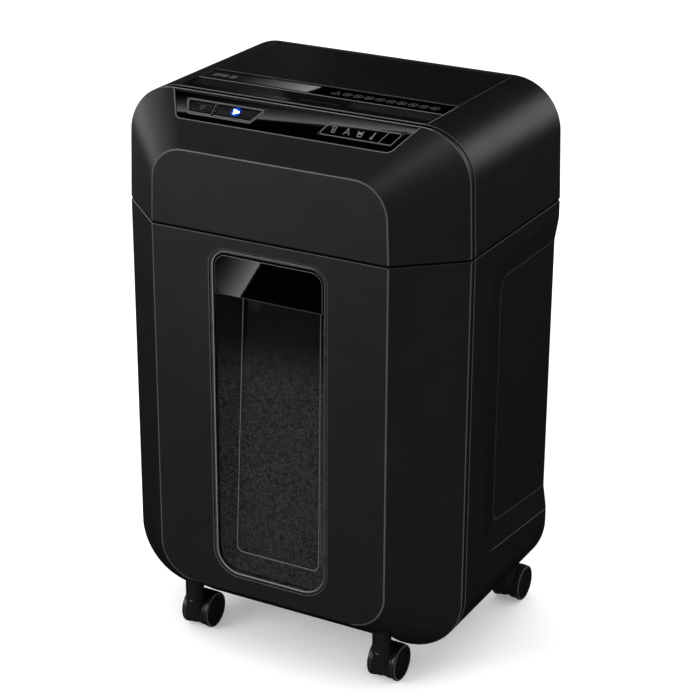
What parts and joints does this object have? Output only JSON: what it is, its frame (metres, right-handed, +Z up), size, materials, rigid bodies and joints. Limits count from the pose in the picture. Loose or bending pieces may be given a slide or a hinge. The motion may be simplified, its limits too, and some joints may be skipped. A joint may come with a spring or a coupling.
{
  "type": "paper shredder",
  "caption": "Upright office paper shredder with a top auto-feed lid and manual slot, pull-out bin with a sunken window, and swivelling twin-wheel casters.",
  "frame": {"origin": "on the floor under the casters, under the middle of the bounding box", "axes": "+Z up, -Y towards the front with the bin window, +X to the right seen from the front"},
  "size_m": [0.36, 0.268, 0.5575],
  "materials": {
    "casing": "fine-textured black plastic",
    "gloss": "polished black plastic",
    "smoked": "smoked clear plastic",
    "bin": "plain black plastic",
    "steel": "machined steel",
    "zinc": "zinc-plated sheet steel",
    "nylon": "natural nylon",
    "rubber": "soft rubber",
    "board": "green circuit board",
    "motor": "painted steel can",
    "caster": "black moulded plastic"
  },
  "bodies": {
    "cabinet": {"cabinet_shell": "casing", "head_shell": "casing", "head_fascia": "casing", "control_panel": "gloss", "button_bezel": "gloss", "indicator_lens": "smoked", "symbol_strip": "gloss", "feed_throat": "gloss", "auto_feed_tray": "casing", "lid_hinge_pin": "steel", "rear_vent": "casing", "power_inlet": "gloss", "side_plate_left": "zinc", "side_plate_right": "zinc", "tie_rod_front": "steel", "tie_rod_rear": "steel", "stripper_front": "nylon", "stripper_rear": "nylon", "drive_motor": "motor", "control_board": "board", "bin_switch": "gloss", "base_plate": "zinc", "bin_rail_left": "nylon", "bin_rail_right": "nylon"},
    "bin": {"bin_front": "casing", "window_trim": "casing", "bin_window": "smoked", "bin_handle": "gloss", "bin_bucket": "bin"},
    "lid": {"auto_lid": "casing"},
    "pressure_plate": {"pressure_plate": "zinc"},
    "reverse_button": {"reverse_button": "gloss"},
    "start_button": {"start_button": "gloss"},
    "mains_rocker": {"mains_switch": "gloss"},
    "cutter_rear": {"cutter_rear": "steel", "cutter_gear_rear": "steel", "main_gear": "steel"},
    "cutter_front": {"cutter_front": "steel", "cutter_gear_front": "steel"},
    "reduction": {"reduction_pinion": "steel", "reduction_gear": "nylon"},
    "motor_rotor": {"motor_pinion": "steel"},
    "feed": {"feed_shaft": "steel", "feed_gear": "nylon", "feed_roller_left": "rubber", "feed_roller_right": "rubber"},
    "caster_front_left": {"caster_hood_front_left": "caster"},
    "wheel_front_left_left": {"wheel_front_left_left": "caster"},
    "wheel_front_left_right": {"wheel_front_left_right": "caster"},
    "caster_front_right": {"caster_hood_front_right": "caster"},
    "wheel_front_right_left": {"wheel_front_right_left": "caster"},
    "wheel_front_right_right": {"wheel_front_right_right": "caster"},
    "caster_rear_left": {"caster_hood_rear_left": "caster"},
    "wheel_rear_left_left": {"wheel_rear_left_left": "caster"},
    "wheel_rear_left_right": {"wheel_rear_left_right": "caster"},
    "caster_rear_right": {"caster_hood_rear_right": "caster"},
    "wheel_rear_right_left": {"wheel_rear_right_left": "caster"},
    "wheel_rear_right_right": {"wheel_rear_right_right": "caster"}
  },
  "joints": [
    {"name": "bin_slide", "type": "slide", "parent": "cabinet", "child": "bin", "axis": [0, -1, 0], "range_m": [0, 0.2]},
    {"name": "lid_hinge", "type": "hinge", "parent": "cabinet", "child": "lid", "pos_m": [0, 0.1, 0.5495], "axis": [-1, 0, 0], "range_deg": [0, 75]},
    {"name": "plate_slide", "type": "slide", "parent": "lid", "child": "pressure_plate", "axis": [0, 0, 1], "range_m": [0, 0.009], "stiffness_N_per_m": 60, "springref_m": -0.01},
    {"name": "reverse_press", "type": "slide", "parent": "cabinet", "child": "reverse_button", "axis": [0, 0.6036, -0.7973], "range_m": [0, 0.0011], "stiffness_N_per_m": 300, "springref_m": -0.0006},
    {"name": "start_press", "type": "slide", "parent": "cabinet", "child": "start_button", "axis": [0, 0.6036, -0.7973], "range_m": [0, 0.0011], "stiffness_N_per_m": 300, "springref_m": -0.0006},
    {"name": "mains_rocker_hinge", "type": "hinge", "parent": "cabinet", "child": "mains_rocker", "pos_m": [-0.096, 0.1105, 0.4675], "axis": [1, 0, 0], "range_deg": [0, 14]},
    {"name": "cutter_rear_spin", "type": "hinge", "parent": "cabinet", "child": "cutter_rear", "pos_m": [0, -0.05, 0.484], "axis": [1, 0, 0], "continuous": true},
    {"name": "cutter_front_spin", "type": "hinge", "parent": "cabinet", "child": "cutter_front", "pos_m": [0, -0.078, 0.484], "axis": [1, 0, 0], "continuous": true},
    {"name": "reduction_spin", "type": "hinge", "parent": "cabinet", "child": "reduction", "pos_m": [0, -0.01, 0.484], "axis": [1, 0, 0], "continuous": true},
    {"name": "motor_spin", "type": "hinge", "parent": "cabinet", "child": "motor_rotor", "pos_m": [0, 0.026, 0.484], "axis": [1, 0, 0], "continuous": true},
    {"name": "feed_spin", "type": "hinge", "parent": "cabinet", "child": "feed", "pos_m": [0, 0.0072, 0.519], "axis": [1, 0, 0], "continuous": true},
    {"name": "swivel_front_left", "type": "hinge", "parent": "cabinet", "child": "caster_front_left", "pos_m": [-0.106, -0.1035, 0.0374], "axis": [0, 0, 1], "continuous": true},
    {"name": "spin_front_left_left", "type": "hinge", "parent": "caster_front_left", "child": "wheel_front_left_left", "pos_m": [-0.106, -0.088, 0.0183], "axis": [1, 0, 0], "continuous": true},
    {"name": "spin_front_left_right", "type": "hinge", "parent": "caster_front_left", "child": "wheel_front_left_right", "pos_m": [-0.106, -0.088, 0.0183], "axis": [1, 0, 0], "continuous": true},
    {"name": "swivel_front_right", "type": "hinge", "parent": "cabinet", "child": "caster_front_right", "pos_m": [0.106, -0.1035, 0.0374], "axis": [0, 0, 1], "continuous": true},
    {"name": "spin_front_right_left", "type": "hinge", "parent": "caster_front_right", "child": "wheel_front_right_left", "pos_m": [0.106, -0.088, 0.0183], "axis": [1, 0, 0], "continuous": true},
    {"name": "spin_front_right_right", "type": "hinge", "parent": "caster_front_right", "child": "wheel_front_right_right", "pos_m": [0.106, -0.088, 0.0183], "axis": [1, 0, 0], "continuous": true},
    {"name": "swivel_rear_left", "type": "hinge", "parent": "cabinet", "child": "caster_rear_left", "pos_m": [-0.144, 0.0998, 0.0374], "axis": [0, 0, 1], "continuous": true},
    {"name": "spin_rear_left_left", "type": "hinge", "parent": "caster_rear_left", "child": "wheel_rear_left_left", "pos_m": [-0.144, 0.1153, 0.0183], "axis": [1, 0, 0], "continuous": true},
    {"name": "spin_rear_left_right", "type": "hinge", "parent": "caster_rear_left", "child": "wheel_rear_left_right", "pos_m": [-0.144, 0.1153, 0.0183], "axis": [1, 0, 0], "continuous": true},
    {"name": "swivel_rear_right", "type": "hinge", "parent": "cabinet", "child": "caster_rear_right", "pos_m": [0.144, 0.0998, 0.0374], "axis": [0, 0, 1], "continuous": true},
    {"name": "spin_rear_right_left", "type": "hinge", "parent": "caster_rear_right", "child": "wheel_rear_right_left", "pos_m": [0.144, 0.1153, 0.0183], "axis": [1, 0, 0], "continuous": true},
    {"name": "spin_rear_right_right", "type": "hinge", "parent": "caster_rear_right", "child": "wheel_rear_right_right", "pos_m": [0.144, 0.1153, 0.0183], "axis": [1, 0, 0], "continuous": true}
  ],
  "couplings": [
    {"joint": "cutter_front_spin", "follows": "cutter_rear_spin", "ratio": -1},
    {"joint": "reduction_spin", "follows": "cutter_rear_spin", "ratio": -2.3333},
    {"joint": "motor_spin", "follows": "cutter_rear_spin", "ratio": 7},
    {"joint": "feed_spin", "follows": "cutter_rear_spin", "ratio": 5.25}
  ]
}
